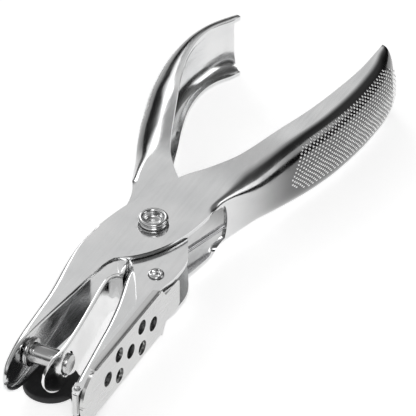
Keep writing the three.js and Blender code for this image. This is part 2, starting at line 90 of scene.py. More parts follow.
LID_OUT, LID_HALF, LID_FRONT, LID_REAR = -13.2, 6.5, -59.2, -12.4
LIP_START, LIP_END, LIP_HEIGHT, LID_CORNER, LID_BEND = -52.5, -21.5, 2.0, 6.4, 0.8
TAB_START, TAB_ROOT, TAB_CHAMFER, TAB_HALF, TAB_TIP = -21.0, -19.2, -13.2, 3.9, 3.2
HOLE_MIDDLE, HOLE_PITCH, HOLE_ROW, LID_HOLE = -36.3, 10.9, 3.0, 1.8
HINGE_X, HINGE_Y, HINGE_EAR, HINGE_HOLE = -57.4, -11.0, 1.2, 0.75
CURL_OUT, CURL_IN, CURL_HALF = 1.25, 0.82, 3.0

STOP_X, STOP_Y, STOP_RADIUS, STOP_TOP = -45.7, 2.2, 6.5, -7.1
STOP_TONGUE = [(-52.4, -7.8), (-52.4, -11), (-46.8, -11), (-43.2, -7)]
STOP_BOSS = [(-52.3, -10.95), (-47, -10.95), (-47, -9.2), (-52.3, -9.2)]
STOP_RIVET_X, STOP_RIVET_Y, STOP_RIVET_SHANK = -50, -10.1, 0.5


def world(x, y, z):
    """A point about the pivot in millimetres, as a place in the CAD frame in metres."""
    return Vector((PIVOT.x + x * MM, PIVOT.y + y * MM, PIVOT.z + z * MM))


# ------------------------------------------------------------------ curves

def through(points):
    """Smooth y(x) through points listed in order of x."""
    last = len(points) - 1
    slope = []
    for i in range(len(points)):
        before, after = points[max(i - 1, 0)], points[min(i + 1, last)]
        slope.append((after[1] - before[1]) / (after[0] - before[0]))

    def value(x):
        i = 0
        while i < last - 1 and x > points[i + 1][0]:
            i += 1
        (x0, y0), (x1, y1) = points[i], points[i + 1]
        span = x1 - x0
        t = min(max((x - x0) / span, 0.0), 1.0)
        return ((2 * t ** 3 - 3 * t ** 2 + 1) * y0 + (t ** 3 - 2 * t ** 2 + t) * span * slope[i]
                + (3 * t ** 2 - 2 * t ** 3) * y1 + (t ** 3 - t ** 2) * span * slope[i + 1])
    return value


def smooth(x, start, end):
    t = min(max((x - start) / (end - start), 0.0), 1.0)
    return t * t * (3 - 2 * t)


def mix(a, b, t):
    return a + (b - a) * t


def spread(start, end, count):
    return [mix(start, end, i / count) for i in range(count + 1)]


# ------------------------------------------------------------------ materials

# The plate over the grip backs is scaled towards this factor: painted shade standing in for the dark
# reflection there.
PAINTED_SHADE_LAYER, PAINTED_GRIP_SHADE = "grip", 0.20
BUMP_DEPTH = 0.00005


def new_material(name):
    material = bpy.data.materials.new(name)
    material.use_nodes = True
    tree = material.node_tree
    shader = tree.nodes["Principled BSDF"]
    coords = tree.nodes.new("ShaderNodeTexCoord")
    return material, tree, shader, coords.outputs["Object"]


def noise(tree, coords, scale, detail=3.0, stretch=(1, 1, 1)):
    mapping = tree.nodes.new("ShaderNodeMapping")
    mapping.inputs["Scale"].default_value = [scale * s for s in stretch]
    tree.links.new(coords, mapping.inputs["Vector"])
    node = tree.nodes.new("ShaderNodeTexNoise")
    node.inputs["Scale"].default_value = 1.0
    node.inputs["Detail"].default_value = detail
    tree.links.new(mapping.outputs["Vector"], node.inputs["Vector"])
    return node.outputs["Fac"]


def ramp(tree, value, low, high, start=0.35, end=0.65, curve="LINEAR"):
    """Maps a value between start and end onto low to high."""
    node = tree.nodes.new("ShaderNodeMapRange")
    node.interpolation_type = curve
    node.inputs["From Min"].default_value = start
    node.inputs["From Max"].default_value = end
    node.inputs["To Min"].default_value = low
    node.inputs["To Max"].default_value = high
    tree.links.new(value, node.inputs["Value"])
    return node.outputs["Result"]


def scaled(tree, colour, factor):
    """A colour made darker or lighter by a factor."""
    node = tree.nodes.new("ShaderNodeVectorMath")
    node.operation = "SCALE"
    tree.links.new(colour, node.inputs["Vector"])
    tree.links.new(factor, node.inputs["Scale"])
    return node.outputs["Vector"]


def tint(tree, value, dark, light):
    """A grey between two tones, from a noise value."""
    node = tree.nodes.new("ShaderNodeValToRGB")
    node.color_ramp.elements[0].position = 0.3
    node.color_ramp.elements[0].color = (*dark, 1)
    node.color_ramp.elements[1].position = 0.7
    node.color_ramp.elements[1].color = (*light, 1)
    tree.links.new(value, node.inputs["Fac"])
    return node.outputs["Color"]


def bump(tree, shader, value, strength):
    node = tree.nodes.new("ShaderNodeBump")
    node.inputs["Strength"].default_value = strength
    node.inputs["Distance"].default_value = BUMP_DEPTH
    tree.links.new(value, node.inputs["Height"])
    tree.links.new(node.outputs["Normal"], shader.inputs["Normal"])


def plated(name, dark, light, rough, grain, scratch):
    """Bright plate over pressed sheet: cloudy tone, fine drawing lines and a little orange peel."""
    material, tree, shader, coords = new_material(name)
    shader.inputs["Metallic"].default_value = 1.0
    clouds = noise(tree, coords, 90, 4)
    tree.links.new(tint(tree, clouds, dark, light), shader.inputs["Base Color"])
    lines = noise(tree, coords, 900, 2, grain)
    tree.links.new(ramp(tree, lines, rough[0], rough[1]), shader.inputs["Roughness"])
    bump(tree, shader, lines, scratch)
    return material


def paint_grip_shade(material):
    """Paints shade into the plate over the backs of the grips, where the dark reflection falls, so that the
    raised dots stand out.
    """
    tree = material.node_tree
    shader = tree.nodes["Principled BSDF"]
    plain = shader.inputs["Base Color"].links[0].from_socket
    grip = tree.nodes.new("ShaderNodeAttribute")
    grip.attribute_name = PAINTED_SHADE_LAYER
    shade = ramp(tree, grip.outputs["Fac"], 1.0, PAINTED_GRIP_SHADE, 0.0, 1.0)
    tree.links.new(scaled(tree, plain, shade), shader.inputs["Base Color"])
    return material


def mark_painted_grip_shade(thing, side, start, end):
    """Marks how far each point of a lever lies on the outside of the grip's rounded back: the mask of the
    painted shade there.
    """
    mesh = thing.data
    layer = mesh.attributes.new(PAINTED_SHADE_LAYER, "FLOAT", "POINT")
    for vertex, value in zip(mesh.vertices, layer.data):
        x = (vertex.co.x - PIVOT.x) / MM
        back = smooth(side * vertex.normal.y, 0.03, 0.40) * smooth(vertex.normal.z, -0.75, -0.35)
        value.value = smooth(x, start, end) * back
    return thing


def make_materials():
    along = (0.06, 1.0, 1.0)
    across = (1.0, 0.06, 1.0)
    lever = plated("nickel_lever", (0.68, 0.685, 0.69), (0.78, 0.78, 0.78), (0.12, 0.22), along, 0.03)
    return {
        # The lever plate carries painted shade over the backs of the grips.
        "lever": paint_grip_shade(lever),
        "nickel": plated("nickel_plate", (0.66, 0.665, 0.67), (0.80, 0.80, 0.80), (0.10, 0.20), along, 0.03),
        "lid": plated("nickel_lid", (0.62, 0.62, 0.62), (0.67, 0.67, 0.665), (0.20, 0.28), along, 0.03),
        "leaf": plated("polished_leaf", (0.80, 0.80, 0.80), (0.92, 0.92, 0.92), (0.08, 0.16), along, 0.02),
        "satin": plated("ground_steel", (0.42, 0.42, 0.42), (0.66, 0.66, 0.66), (0.14, 0.30), across, 0.12),
        "wire": plated("spring_wire", (0.40, 0.40, 0.41), (0.60, 0.60, 0.61), (0.16, 0.28), across, 0.1),
        "dots": plated("polished_dots", (0.86, 0.86, 0.86), (0.94, 0.94, 0.94), (0.16, 0.24), along, 0.01),
        "blued": blued(),
    }


def blued():
    """Blackened plate: dark, semi-matt, slightly cloudy, with a faint grain."""
    material, tree, shader, coords = new_material("blued_plate")
    clouds = noise(tree, coords, 260, 5)
    tone = tint(tree, clouds, (0.016, 0.016, 0.017), (0.030, 0.030, 0.032))
    tree.links.new(tone, shader.inputs["Base Color"])
    grain = noise(tree, coords, 4200, 3)
    tree.links.new(ramp(tree, grain, 0.48, 0.66), shader.inputs["Roughness"])
    shader.inputs["Specular IOR Level"].default_value = 0.35
    bump(tree, shader, grain, 0.25)
    return material


# ------------------------------------------------------------------ mesh helpers

def make_object(name, points, faces, material):
    mesh = bpy.data.meshes.new(name)
    mesh.from_pydata([world(*p) for p in points], [], faces)
    mesh.materials.append(material)
    thing = bpy.data.objects.new(name, mesh)
    bpy.context.scene.collection.objects.link(thing)
    clean(mesh)
    return thing


def clean(mesh):
    bm = bmesh.new()
    bm.from_mesh(mesh)
    bmesh.ops.remove_doubles(bm, verts=bm.verts, dist=1e-7)
    bmesh.ops.dissolve_degenerate(bm, edges=bm.edges, dist=1e-7)
    bm.to_mesh(mesh)
    bm.free()


def face_outwards(mesh):
    bm = bmesh.new()
    bm.from_mesh(mesh)
    bmesh.ops.recalc_face_normals(bm, faces=bm.faces)
    bm.to_mesh(mesh)
    bm.free()


def cutter(name, centre, radius, depth, axis="Z", tilt=0.0, sides=64):
    """A hidden cylinder for boolean holes, removed once it has been used."""
    bm = bmesh.new()
    bmesh.ops.create_cone(bm, cap_ends=True, segments=sides, radius1=radius * MM, radius2=radius * MM,
                          depth=depth * MM)
    turn = Matrix() if axis == "Z" else Matrix.Rotation(math.radians(90), 4, "X")
    turn = Matrix.Rotation(math.radians(tilt), 4, "Z") @ turn
    bm.transform(Matrix.Translation(world(*centre)) @ turn)
    mesh = bpy.data.meshes.new(name)
    bm.to_mesh(mesh)
    bm.free()
    thing = bpy.data.objects.new(name, mesh)
    bpy.context.scene.collection.objects.link(thing)
    return thing


def shade_edges(mesh, sharp):
    """Smooth shading between edges sharper than an angle in degrees."""
    mesh.shade_smooth()
    mesh.set_sharp_from_angle(angle=math.radians(sharp))


def bake(thing):
    """Applies every modifier and shades the result smooth between its sharp edges."""
    graph = bpy.context.evaluated_depsgraph_get()
    mesh = bpy.data.meshes.new_from_object(thing.evaluated_get(graph))
    thing.modifiers.clear()
    thing.data = mesh
    shade_edges(mesh, 38)


def finish_sheet(thing, sheet, holes, edge=0.22, inward=True):
    """Gives a surface its sheet thickness, cuts its holes and rounds its cut edges."""
    solid = thing.modifiers.new("sheet", "SOLIDIFY")
    solid.thickness = sheet * MM
    solid.offset = -1 if inward else 1
    solid.use_even_offset = False
    solid.use_quality_normals = True
    for i, hole in enumerate(holes):
        cut = thing.modifiers.new(f"hole_{i}", "BOOLEAN")
        cut.operation = "DIFFERENCE"
        cut.solver = "EXACT"
        cut.object = hole
    round_edges(thing, edge, 2, 50)
    bake(thing)
    for hole in holes:
        bpy.data.objects.remove(hole)
    return thing


def round_edges(thing, width, segments, angle):
    bevel = thing.modifiers.new("edges", "BEVEL")
    bevel.width = width * MM
    bevel.segments = segments
    bevel.limit_method = "ANGLE"
    bevel.angle_limit = math.radians(angle)
    bevel.harden_normals = False


def lathe(name, profile, material, centre=(0, 0, 0), axis="Z", tilt=0.0, sides=64, sharp=40):
    """Turned piece: pairs of radius and height, closing on the axis or on itself."""
    closed = profile[0] == profile[-1]
    outline = profile[:-1] if closed else profile
    spin = Matrix.Rotation(math.radians(tilt), 3, "Z")
    points, faces = [], []
    for i in range(sides):
        a = 2 * math.pi * i / sides
        for r, h in outline:
            if axis == "Z":
                p = Vector((r * math.cos(a), r * math.sin(a), h))
            else:
                p = spin @ Vector((r * math.cos(a), h, r * math.sin(a)))
            points.append((centre[0] + p.x, centre[1] + p.y, centre[2] + p.z))
    n = len(outline)
    for i in range(sides):
        j = (i + 1) % sides
        for k in range(n if closed else n - 1):
            m = (k + 1) % n
            faces.append((i * n + k, j * n + k, j * n + m, i * n + m))
    thing = make_object(name, points, faces, material)
    face_outwards(thing.data)
    shade_edges(thing.data, sharp)
    return thing


def sweep(name, line, radius, material):
    """Round wire along a list of points."""
    sides = 14
    points, faces = [], []
    side = Vector((0, 0, 1))
    for i, p in enumerate(line):
        ahead = (line[min(i + 1, len(line) - 1)] - line[max(i - 1, 0)]).normalized()
        side = (side - ahead * side.dot(ahead)).normalized()
        other = ahead.cross(side)
        for k in range(sides):
            a = 2 * math.pi * k / sides
            points.append(tuple(p + (side * math.cos(a) + other * math.sin(a)) * radius))
    for i in range(len(line) - 1):
        for k in range(sides):
            m = (k + 1) % sides
            faces.append((i * sides + k, i * sides + m, (i + 1) * sides + m, (i + 1) * sides + k))
    faces.append(tuple(range(sides)))
    faces.append(tuple(reversed(range(len(points) - sides, len(points)))))
    thing = make_object(name, points, faces, material)
    face_outwards(thing.data)
    shade_edges(thing.data, 50)
    return thing


def round_points(x, y, radius, start, end, count):
    """Points along a circular arc, angles in degrees."""
    angles = [math.radians(a) for a in spread(start, end, count)]
    return [(x + radius * math.cos(a), y + radius * math.sin(a)) for a in angles]


def plate(name, outline, low, high, material, edge):
    """Flat piece between two heights, from an outline in x and y, with rounded edges."""
    n = len(outline)
    points = [(x, y, level) for level in (low, high) for x, y in outline]
    faces = [tuple(range(n)), tuple(range(n, 2 * n))]
    faces += [(i, (i + 1) % n, n + (i + 1) % n, n + i) for i in range(n)]
    thing = make_object(name, points, faces, material)
    face_outwards(thing.data)
    round_edges(thing, edge, 3, 40)
    bake(thing)
    return thing


# ------------------------------------------------------------------ pressed channels

ARC_STEPS, CHEEK_STEPS, WEB_STEPS = 12, 8, 10
FLAT_LEFT, GRIP_DEPTH, LOWER_DEPTH = 0.45, 5.0, 7.2


def bend_size(radius, half, room, deepest):
    """Depth and width of a bent edge: round while small, and never deeper than a handle's back."""
    return min(radius, deepest, room), min(radius, half - FLAT_LEFT)


def bent_edge(edge, side, size, half, weight):
    """Points from the flat of a cheek over its bent edge. Weight 0 leaves the edge flat."""
    deep, wide = size
    points = []
    for i in range(1, ARC_STEPS + 1):
        turn = math.pi / 2 * i / ARC_STEPS
        flat_y, flat_z = edge - side * deep * (1 - i / ARC_STEPS), half
        bent_y, bent_z = edge - side * deep * (1 - math.sin(turn)), half - wide * (1 - math.cos(turn))
        points.append((mix(flat_y, bent_y, weight), mix(flat_z, bent_z, weight)))
    return points


def pressed(name, stations, material, web_plus, web_minus, cut=None, deepest=GRIP_DEPTH):
    """Outer surface of a pressed piece, as rows of points square to x.

    A station is (x, top, bottom, half, radius_plus, bend_plus, radius_minus, bend_minus). web_plus
    and web_minus say, for x, whether the sheet runs round that edge to the other cheek.
    """
    rows = []
    for x, top, bottom, half, r_plus, b_plus, r_minus, b_minus in stations:
        width = max(top - bottom, 0.02)
        both = b_plus > 0 and b_minus > 0
        room = width * 0.48 if both else max(width - FLAT_LEFT, width * 0.48)
        little = min(FLAT_LEFT / 2, width * 0.4)
        size_plus = bend_size(r_plus, half, room if b_plus > 0 else little, deepest)
        size_minus = bend_size(r_minus, half, room if b_minus > 0 else little, deepest)
        minus = bent_edge(bottom, -1, size_minus, half, b_minus)
        plus = bent_edge(top, 1, size_plus, half, b_plus)
        flat = [(y, half) for y in spread(bottom + size_minus[0], top - size_plus[0], CHEEK_STEPS)]
        cheek = list(reversed(minus)) + flat + plus
        rows.append((x, cheek))
    count = len(rows[0][1])
    points, index, faces = [], {}, []

    def vertex(key, x, y, z):
        if key not in index:
            depth = cut(x, y, z) if cut else 0.0
            index[key] = len(points)
            points.append((x - depth, y, z))
        return index[key]

    def cheek_vertex(i, k, sign):
        x, cheek = rows[i]
        y, z = cheek[k]
        return vertex(("c", i, k, sign), x, y, sign * z)

    def web_vertex(i, side, k):
        x, cheek = rows[i]
        if k in (0, WEB_STEPS):
            return cheek_vertex(i, count - 1 if side > 0 else 0, 1 if k == 0 else -1)
        y, z = cheek[-1] if side > 0 else cheek[0]
        return vertex(("w", i, side, k), x, y, mix(z, -z, k / WEB_STEPS))

    for i in range(len(rows) - 1):
        for k in range(count - 1):
            a, b = cheek_vertex(i, k, 1), cheek_vertex(i, k + 1, 1)
            c, d = cheek_vertex(i + 1, k + 1, 1), cheek_vertex(i + 1, k, 1)
            faces.append((a, d, c, b))
            a, b = cheek_vertex(i, k, -1), cheek_vertex(i, k + 1, -1)
            c, d = cheek_vertex(i + 1, k + 1, -1), cheek_vertex(i + 1, k, -1)
            faces.append((a, b, c, d))
        middle = (rows[i][0] + rows[i + 1][0]) / 2
        for side, has_web in ((1, web_plus), (-1, web_minus)):
            if not has_web(middle):
                continue
            for k in range(WEB_STEPS):
                a, b = web_vertex(i, side, k), web_vertex(i, side, k + 1)
                c, d = web_vertex(i + 1, side, k + 1), web_vertex(i + 1, side, k)
                faces.append((a, d, c, b) if side > 0 else (a, b, c, d))
    return make_object(name, points, faces, material)


# ------------------------------------------------------------------ upper lever

JAW_NOSE, NOSE_TURN, NOSE_ROUND = -58.6, 3.6, -47.0
UPPER_END = 84.0
upper_top_line = through([
    (-57, 7.9), (-45, 8.9), (-33, 9.8), (-22, 11.3), (-12.5, 11.5), (-1, 9.7), (9, 6.6), (19, 1.9),
    (24, -2.2), (31, -6.9), (42, -11.1), (52, -14.2), (62, -16.4), (73, -18.1), (84, -18.5)])
upper_bottom = through([
    (-57, 6.5), (-46.6, 6.3), (-32, 4.8), (-19, 3.1), (-15.5, 1.9), (-13, -1.4), (-9.5, -4.5),
    (-5, -7.1), (0, -8.9), (7, -10.1), (13, -10.5), (20, -12.9), (30, -17), (38, -19.5), (45, -21.5),
    (52, -23.2), (62, -24.6), (70, -25.0), (76, -24.8), (81, -23.8), (84, -22.4)])


def upper_top(x):
    """Outer edge of the upper lever; at the nose it curls round to the slot."""
    start = JAW_NOSE + NOSE_TURN
    if x >= start:
        return upper_top_line(x)
    t = min((start - x) / NOSE_TURN, 1.0)
    return mix(upper_bottom(x) + 0.5, upper_top_line(start), math.sqrt(max(1 - t * t, 0.0)))


def upper_half(x):
    """Half width of the upper lever: round nose, straight jaw, flared grip."""
    if x < NOSE_ROUND:
        t = min((NOSE_ROUND - x) / (NOSE_ROUND - JAW_NOSE), 1.0)
        return mix(0.8, UPPER_HALF, math.sqrt(max(1 - t * t, 0.0)))
    return grip_half(x, 16, 46, UPPER_HALF)


def grip_half(x, start, end, low):
    """Half width of a lever that flares from low to the full width of the grip."""
    return mix(low, GRIP_HALF, smooth(x, start, end))


def lower_half(x):
    return grip_half(x, 23, 50, LOWER_HALF)


def grip_radius(x):
    return mix(JAW_RADIUS, GRIP_RADIUS, smooth(x, 12, 36))


def upper_trim(x, y, z):
    """Hollows the start of the handle's back and sweeps its end back from the pointed open edge."""
    across = 1 - min(abs(z) / upper_half(x), 1.0) ** 2
    notch = -2.4 * across * (1 - smooth(x, 14, 24)) if x > 13 else 0.0
    inward = min(abs(y - upper_top_line(x)) / 5.0, 1.0)
    return notch + 2.4 * inward ** 1.5 * smooth(x, 72, UPPER_END) ** 2


def upper_lever(material):
    nose = [JAW_NOSE + NOSE_TURN * (1 - math.cos(math.pi / 2 * i / 10)) for i in range(10)]
    xs = nose + spread(JAW_NOSE + NOSE_TURN, -14, 26) + spread(-13.6, 20, 34)
    xs += spread(21, UPPER_END, 52)
    stations = [(x, upper_top(x), upper_bottom(x), upper_half(x), mix(JAW_RADIUS, 0.5, smooth(x, -28, -11)),
                 1 - smooth(x, -11.5, -6), grip_radius(x), smooth(x, 9, 14)) for x in xs]
    thing = pressed("upper_lever_shell", stations, material, lambda x: x < -12, lambda x: x > 14,
                    upper_trim)
    holes = [cutter("pivot_cut", (0, 0, 0), PIVOT_HOLE, CUT_THROUGH),
             cutter("stake_cut", (PIN_X, 8.5, 0), PIN_SHANK + 0.2, 6, "Y")]
    return finish_sheet(thing, SHEET, holes)


# ------------------------------------------------------------------ lower lever

LOWER_END = 80.0
lower_top = through([
    (-46, -12.05), (-43.5, -10.3), (-38, -9.6), (-30, -9.5), (-25.5, -8.9), (-22, -7), (-16.5, -3.7),
    (-12.6, -0.6), (-10, 3), (-6, 6.2), (0, 8.4), (9, 10.4), (16, 13.9), (24, 17.4), (33, 21.4),
    (42, 24.4), (50, 26.4), (59, 27.6), (67, 27.4), (73, 25.9), (77.5, 23.4), (80, 20.8)])
lower_bottom = through([
    (-46, -12.1), (-30, -12.1), (-19, -12.1), (-14.5, -12.9), (-7.5, -12.6), (-1.8, -9.9), (4, -6.3),
    (9, -3), (15, 0.2), (18, 2.3), (21, 5), (24, 7.4), (27.5, 9.8), (32, 12), (38, 14.3), (44, 16.5),
    (52, 19.4), (60, 21.5), (67, 21.9), (73, 20.6), (80, 17.2)])


def lower_trim(x, y, z):
    """Rounds the handle's end: full at the back, shorter towards the open edges."""
    end = smooth(x, 66, LOWER_END) ** 2
    inward = min(abs(y - lower_top(x)) / 5.0, 1.0)
    across = 1 - min(abs(z) / GRIP_HALF, 1.0) ** 2
    return end * (1.8 * inward ** 1.5 - 2.0 * across)


def lower_lever(material):
    xs = spread(-46, -18, 24) + spread(-17.4, 18, 44) + spread(18.8, LOWER_END, 54)
    stations = [(x, lower_top(x), lower_bottom(x), lower_half(x), grip_radius(x), smooth(x, 12, 18),
                 0.4, 0.0) for x in xs]
    thing = pressed("lower_lever_shell", stations, material, lambda x: x > 18, lambda x: False,
                    lower_trim, LOWER_DEPTH)
    holes = [cutter("pivot_cut", (0, 0, 0), PIVOT_HOLE, CUT_THROUGH),
             cutter("rivet_cut", (RIVET_X, RIVET_Y, 0), RIVET_HOLE, CUT_THROUGH)]
    return finish_sheet(thing, SHEET, holes)


# ------------------------------------------------------------------ raised grip dots

DOT_PITCH, DOT_RADIUS, DOT_HEIGHT = 1.28, 0.33, 0.17
PATCH_START = (31, 42)


def dome(centre, normal, points, faces):
    """Adds one low round dome to the lists of points and faces."""
    rings, sides = 3, 8
    side = normal.cross(Vector((1, 0, 0))).normalized()
    other = normal.cross(side)
    base = len(points)
    points.append(tuple(centre + normal * DOT_HEIGHT))
    for ring in range(1, rings + 1):
        angle = math.pi / 2 * ring / rings
        radius = DOT_RADIUS * math.sin(angle)
        height = DOT_HEIGHT * (math.cos(angle) * 1.25 - 0.25)
        for j in range(sides):
            b = 2 * math.pi * j / sides
            outwards = (side * math.cos(b) + other * math.sin(b)) * radius
            points.append(tuple(centre + normal * height + outwards))
    for j in range(sides):
        m = (j + 1) % sides
        faces.append((base, base + 1 + j, base + 1 + m))
        for ring in range(rings - 1):
            a = base + 1 + ring * sides
            faces.append((a + j, a + sides + j, a + sides + m, a + m))
    faces.append(tuple(base + 1 + (rings - 1) * sides + j for j in reversed(range(sides))))


def grip_dots(name, back, edge, edge_side, first, last, half, material, shares, fade, deepest):
    """Staggered rows of small raised dots on the rounded back of a handle.

    shares says how much of the bend the patch covers above and below the middle, and fade where
    it narrows towards the end of the handle.
    """
    points, faces = [], []
    step = DOT_PITCH / 2
    for i in range(int((last - first) / step) + 1):
        x = first + i * step
        narrow = smooth(x, *PATCH_START) * (1 - smooth(x, *fade))
        deep, wide = bend_size(grip_radius(x), half(x), abs(edge(x) - back(x)) - FLAT_LEFT, deepest)
        mean = (deep + wide) / 2
        reach, flat = math.pi / 2 * mean, half(x) - wide
        count = int((reach + flat) / DOT_PITCH)
        offset = 0.5 if i % 2 else 0.0
        for k in range(-count, count + 1):
            s = (k + offset) * DOT_PITCH
            if abs(s) > (flat + reach * shares[0 if s > 0 else 1]) * narrow:
                continue
            over = abs(s) - flat
            if over <= 0:
                centre, normal = Vector((x, back(x), s)), Vector((0, edge_side, 0))
            else:
                a = over / mean
                sign = 1 if s > 0 else -1
                y = back(x) - edge_side * deep * (1 - math.cos(a))
                centre = Vector((x, y, sign * (flat + wide * math.sin(a))))
                normal = Vector((0, edge_side * math.cos(a) / deep, sign * math.sin(a) / wide))
                normal.normalize()
            tilt = (back(x + 0.5) - back(x - 0.5)) * edge_side
            normal = (normal - Vector((tilt * abs(normal.y), 0, 0))).normalized()
            dome(centre, normal, points, faces)
    thing = make_object(name, points, faces, material)
    face_outwards(thing.data)
    thing.data.shade_smooth()
    return thing


def upper_dots(material):
    """The patch reaches further up the near cheek than towards the side the tool lies on."""
    return grip_dots("upper_grip_dots", upper_bottom, upper_top_line, -1, 35, 80.5, upper_half,
                     material, (0.64, 0.22), (76, 86), GRIP_DEPTH)


def lower_dots(material):
    return grip_dots("lower_grip_dots", lower_top, lower_bottom, 1, 36, 76, lower_half, material,
                     (0.42, 0.42), (70, 80), LOWER_DEPTH)


# ------------------------------------------------------------------ lower jaw

frame_back = through([
    (-55.4, -9.5), (-53, -9.05), (-46, -8.0), (-39, -6.95), (-34, -6.2), (-26, -4.5), (-18.6, -2.3),
    (-12, -0.5)])
EAR_END = HINGE_X - HINGE_EAR
WEB_FRONT = -55.4


def ear_height(x):
    """Half height of the round hinge ears."""
    return math.sqrt(max(HINGE_EAR ** 2 - min(x - HINGE_X, 0) ** 2, 0.0))


def frame_top(x):
    if x >= WEB_FRONT:
        return frame_back(x)
    blend = smooth(x, WEB_FRONT - 1.2, WEB_FRONT)
    return mix(HINGE_Y + ear_height(x), frame_back(WEB_FRONT), blend)


def die_frame(material):
    ears = [EAR_END + HINGE_EAR * (1 - math.cos(math.pi / 2 * i / 6)) for i in range(7)]
    xs = ears + spread(-57, -55.6, 4) + spread(WEB_FRONT, -12.4, 44)
    stations = [(x, frame_top(x), max(JAW_EDGE, HINGE_Y - ear_height(x)), FRAME_HALF, FRAME_RADIUS,
                 1 if x >= WEB_FRONT else 0, 0.3, 0) for x in xs]
    thing = pressed("die_frame_shell", stations, material, lambda x: x > WEB_FRONT - 0.05,
                    lambda x: False)
    holes = [cutter("die_cut", (DIE_X, DIE_Y, 0), DIE_RADIUS + 0.05, 6, "Y", DIE_TILT),
             cutter("hinge_cut", (HINGE_X, HINGE_Y, 0), HINGE_HOLE, CUT_THROUGH),
             cutter("rivet_cut", (RIVET_X, RIVET_Y, 0), RIVET_HOLE, CUT_THROUGH)]
    return finish_sheet(thing, FRAME_SHEET, holes, 0.18)


LEAF_LINE = [(-12.8, -0.45), (-17.2, -1.5), (-18.6, -1.2), (-20.4, 0.1), (-23.5, 0.2), (-30, -0.7),
             (-38, -1.8), (-46, -2.6), (-50, -2.5), (-55, -1.1)]


def catmull(points, per_span):
    """Points along a smooth curve through the given ones."""
    line = []
    last = len(points) - 1
    for i in range(last):
        p0, p1 = Vector(points[max(i - 1, 0)]), Vector(points[i])
        p2, p3 = Vector(points[i + 1]), Vector(points[min(i + 2, last)])
        for k in range(per_span):
            t = k / per_span
            line.append(0.5 * ((2 * p1) + (p2 - p0) * t + (2 * p0 - 5 * p1 + 4 * p2 - p3) * t * t
                               + (3 * p1 - p0 - 3 * p2 + p3) * t ** 3))
    line.append(Vector(points[-1]))
    return line


def stripper_leaf(material):
    line = catmull(LEAF_LINE, 8)
    columns = 12
    points, faces = [], []
    for p in line:
        into_end = min(max((LEAF_ROUND - p.x) / LEAF_HALF, 0.0), 1.0)
        half = LEAF_HALF * math.sqrt(max(1 - into_end ** 2, 0.0004))
        for k in range(columns + 1):
            points.append((p.x, p.y, mix(-half, half, k / columns)))
    width = columns + 1
    for i in range(len(line) - 1):
        for k in range(columns):
            a = i * width + k
            faces.append((a, a + 1, a + width + 1, a + width))
    thing = make_object("stripper_leaf_strip", points, faces, material)
    upwards = sum(face.normal.y * face.area for face in thing.data.polygons)
    holes = [cutter("pin_cut", (PIN_X, -2, 0), PIN_RADIUS + 0.6, 8, "Y")]
    return finish_sheet(thing, LEAF_SHEET, holes, 0.16, inward=upwards < 0)


def die_bush(material):
    bore, outer = DIE_BORE, DIE_RADIUS
    ring = [(bore, -0.15), (bore, -DIE_DEPTH), (outer, -DIE_DEPTH), (outer, -0.1), (outer - 0.1, 0.0),
            (bore + 0.15, 0.0), (bore, -0.15)]
    return lathe("die_bush_ring", ring, material, (DIE_X, DIE_Y, 0), "Y", DIE_TILT)


def leaf_rivet(material):
    profile = [(0, -1.8), (1.4, -1.8), (1.4, -1.3), (0.85, -1.3), (0.85, 1.1), (1.6, 1.1)]
    profile += round_points(0, 0.7, 1.65, 14, 90, 6)
    return lathe("leaf_rivet_head", profile, material, (FOOT_X, FOOT_Y, 0), "Y", FOOT_TILT, 40)


def punch_pin(material):
    """Ground pin with a hollow end, a fine turned groove and a head staked over the web."""
    web = upper_top_line(PIN_X)
    r, groove, tip = PIN_RADIUS, PIN_RADIUS - 0.07, PIN_TIP
    profile = [(0, tip + 0.8), (r - 0.45, tip + 0.12), (r - 0.12, tip), (r, tip + 0.15), (r, tip + 1.9),
               (groove, tip + 2.0), (groove, tip + 2.15), (r, tip + 2.25), (r, PIN_SHOULDER),
               (PIN_SHANK, PIN_SHOULDER), (PIN_SHANK, web + 0.35), (2.25, web + 0.35),
               (2.3, web + 0.55)]
    profile += round_points(0, web - 1.8, 3.0, 52, 90, 6)
    return lathe("punch_pin_body", profile, material, (PIN_X, 0, 0), "Y")


def pin_collar(material):
    """Ring with a groove round its middle."""
    bore, outer, low, high = COLLAR_BORE, COLLAR_RADIUS, COLLAR_LOW, PIN_SHOULDER
    ring = [(bore, low), (outer - 0.3, low), (outer - 0.05, low + 0.15), (outer, low + 0.35),
            (outer - 0.15, low + 0.55), (outer - 0.15, low + 0.7), (outer, low + 0.9),
            (outer - 0.05, high - 0.1), (outer - 0.3, high), (bore, high), (bore, low)]
    return lathe("pin_collar_ring", ring, material, (PIN_X, 0, 0), "Y")


# ------------------------------------------------------------------ pivot and spring

def pivot_eyelet(material):
    """Rivet with a cup in each end, whose edge is rolled outwards into a round rim."""
    top, bore, roll = UPPER_HALF + EYELET_RIM, EYELET_BORE, 0.58
    floor = top - EYELET_CUP
    rim = round_points(bore + roll + 0.02, top - roll, roll, -35, 180, 14)
    half = [(0, floor), (1.3, floor), (1.9, floor + 0.12), (2.2, floor + 0.4), (bore, floor + 0.8)]
    half += list(reversed(rim)) + [(EYELET_SHANK, UPPER_HALF + 0.2)]
    return lathe("pivot_eyelet_body", half + [(r, -h) for r, h in reversed(half)], material, sharp=50)


def eyelet_flange(material, sign):
    """Dished seat of the rivet against the cheek."""
    low, bore = UPPER_HALF + 0.12, EYELET_SHANK + 0.05
    ring = [(bore, low), (3.3, low), (3.5, low + 0.18), (3.42, low + 0.42), (3.1, low + 0.62),
            (bore, low + 0.68), (bore, low)]
    ring = [(r, sign * h) for r, h in ring]
    return lathe("pivot_eyelet_seat_" + ("top" if sign > 0 else "under"), ring, material)


def pivot_sleeve(material):
    bore, outer, end, edge = SLEEVE_BORE, SLEEVE_RADIUS, SLEEVE_END, 0.15
    ring = [(bore, -end), (outer - edge, -end), (outer, -end + edge), (outer, end - edge),
            (outer - edge, end), (bore, end), (bore, -end)]
    return lathe("pivot_sleeve_tube", ring, material)


